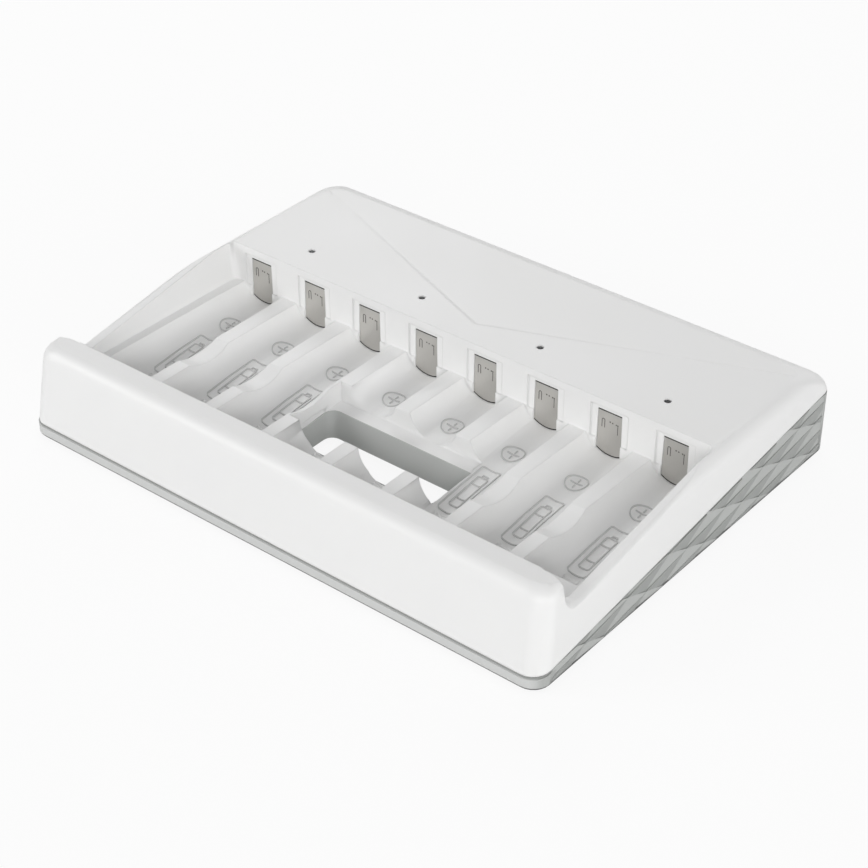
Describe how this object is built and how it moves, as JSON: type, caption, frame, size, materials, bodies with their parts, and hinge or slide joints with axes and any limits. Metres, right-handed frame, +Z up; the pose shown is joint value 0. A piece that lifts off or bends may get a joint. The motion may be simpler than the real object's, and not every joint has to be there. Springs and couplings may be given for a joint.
{
  "type": "battery charger",
  "caption": "Low desk charger for AA and AAA cells: a white tub with a row of two-size slots behind a raised lip, a flat deck with lamps, and a grey base with faceted sides.",
  "frame": {"origin": "centre of the bounding box at the undersides of the feet", "axes": "+X along the row of slots, +Y to the rear where the deck and the power inlet are, +Z up"},
  "size_m": [0.1692, 0.1274, 0.0269],
  "materials": {
    "white_shell": "satin moulded plastic, very fine texture",
    "grey_base": "satin moulded plastic",
    "nickel": "nickel plated spring strip",
    "circuit_green": "green solder mask",
    "chip_black": "matt moulded epoxy",
    "ferrite": "pressed ferrite",
    "capacitor_sleeve": "shrunk sleeve",
    "lamp_lens": "smoked clear plastic",
    "loom_grey": "flat insulated wires",
    "screw_steel": "zinc plated",
    "foot_rubber": "soft moulded rubber"
  },
  "bodies": {
    "root": {"base_housing": "grey_base", "capacitor_left": "capacitor_sleeve", "capacitor_right": "capacitor_sleeve", "charge_driver_left": "chip_black", "charge_driver_right": "chip_black", "circuit_board": "circuit_green", "control_chip": "chip_black", "front_contact_board": "circuit_green", "housing_screw_1": "screw_steel", "housing_screw_2": "screw_steel", "housing_screw_3": "screw_steel", "housing_screw_4": "screw_steel", "housing_screw_5": "screw_steel", "housing_screw_6": "screw_steel", "indicator_led_1": "chip_black", "indicator_led_2": "chip_black", "indicator_led_3": "chip_black", "indicator_led_4": "chip_black", "light_pipe_1": "lamp_lens", "light_pipe_2": "lamp_lens", "light_pipe_3": "lamp_lens", "light_pipe_4": "lamp_lens", "negative_contact_1": "nickel", "negative_contact_2": "nickel", "negative_contact_3": "nickel", "negative_contact_4": "nickel", "negative_contact_5": "nickel", "negative_contact_6": "nickel", "negative_contact_7": "nickel", "negative_contact_8": "nickel", "positive_contact_1": "nickel", "positive_contact_2": "nickel", "positive_contact_3": "nickel", "positive_contact_4": "nickel", "positive_contact_5": "nickel", "positive_contact_6": "nickel", "positive_contact_7": "nickel", "positive_contact_8": "nickel", "power_inductor": "ferrite", "power_inlet": "nickel", "rubber_foot_1": "foot_rubber", "rubber_foot_2": "foot_rubber", "rubber_foot_3": "foot_rubber", "rubber_foot_4": "foot_rubber", "top_housing": "white_shell", "wire_loom": "loom_grey"}
  },
  "joints": []
}
